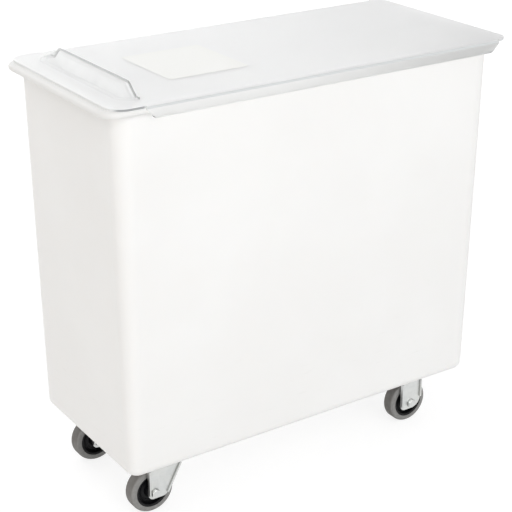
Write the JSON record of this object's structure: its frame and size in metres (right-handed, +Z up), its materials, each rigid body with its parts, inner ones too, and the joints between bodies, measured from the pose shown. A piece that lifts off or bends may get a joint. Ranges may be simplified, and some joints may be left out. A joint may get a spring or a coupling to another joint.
{
  "type": "rolling flour bin",
  "caption": "Tapered white ingredient tub on swivel and fixed castors, with a clear lid that slides along the tub's rim and has a hood-shaped handle.",
  "frame": {"origin": "on the floor, under the middle of the whole bin", "axes": "+X lengthways towards the fixed castors, +Y across towards the back, +Z up"},
  "size_m": [0.7214, 0.332, 0.701],
  "materials": {
    "tub": "white moulded polyethylene",
    "lid_clear": "clear sheet, slightly hazy",
    "zinc": "bright zinc plate",
    "hub": "black moulded plastic",
    "tyre": "grey rubber, slightly worn",
    "insert": "turned brass"
  },
  "bodies": {
    "bin": {"bin_body": "tub", "swivel_plate_front": "zinc", "kingpin_front": "zinc", "swivel_balls_front": "zinc", "race_washer_front": "zinc", "swivel_plate_back": "zinc", "kingpin_back": "zinc", "swivel_balls_back": "zinc", "race_washer_back": "zinc", "fixed_fork_front": "zinc", "fixed_axle_front": "zinc", "fixed_nut_front": "zinc", "fixed_sleeve_front": "zinc", "fixed_fork_back": "zinc", "fixed_axle_back": "zinc", "fixed_nut_back": "zinc", "fixed_sleeve_back": "zinc", "castor_bolts": "zinc", "castor_washers": "zinc", "floor_inserts": "insert"},
    "lid": {"lid": "lid_clear", "lid_handle": "lid_clear"},
    "swivel_front": {"swivel_fork_front": "zinc", "swivel_axle_front": "zinc", "swivel_nut_front": "zinc", "swivel_sleeve_front": "zinc"},
    "swivel_wheel_front": {"swivel_hub_front": "hub", "swivel_tyre_front": "tyre"},
    "swivel_back": {"swivel_fork_back": "zinc", "swivel_axle_back": "zinc", "swivel_nut_back": "zinc", "swivel_sleeve_back": "zinc"},
    "swivel_wheel_back": {"swivel_hub_back": "hub", "swivel_tyre_back": "tyre"},
    "fixed_wheel_front": {"fixed_hub_front": "hub", "fixed_tyre_front": "tyre"},
    "fixed_wheel_back": {"fixed_hub_back": "hub", "fixed_tyre_back": "tyre"}
  },
  "joints": [
    {"name": "lid_slide", "type": "slide", "parent": "bin", "child": "lid", "axis": [1, 0, 0], "range_m": [0, 0.42]},
    {"name": "swivel_turn_front", "type": "hinge", "parent": "bin", "child": "swivel_front", "pos_m": [-0.25225, -0.093, 0.085], "axis": [0, 0, 1], "continuous": true},
    {"name": "swivel_wheel_spin_front", "type": "hinge", "parent": "swivel_front", "child": "swivel_wheel_front", "pos_m": [-0.27625, -0.093, 0.0375], "axis": [0, 1, 0], "continuous": true},
    {"name": "swivel_turn_back", "type": "hinge", "parent": "bin", "child": "swivel_back", "pos_m": [-0.25225, 0.093, 0.085], "axis": [0, 0, 1], "continuous": true},
    {"name": "swivel_wheel_spin_back", "type": "hinge", "parent": "swivel_back", "child": "swivel_wheel_back", "pos_m": [-0.27625, 0.093, 0.0375], "axis": [0, 1, 0], "continuous": true},
    {"name": "fixed_wheel_spin_front", "type": "hinge", "parent": "bin", "child": "fixed_wheel_front", "pos_m": [0.23725, -0.093, 0.0375], "axis": [0, 1, 0], "continuous": true},
    {"name": "fixed_wheel_spin_back", "type": "hinge", "parent": "bin", "child": "fixed_wheel_back", "pos_m": [0.23725, 0.093, 0.0375], "axis": [0, 1, 0], "continuous": true}
  ]
}
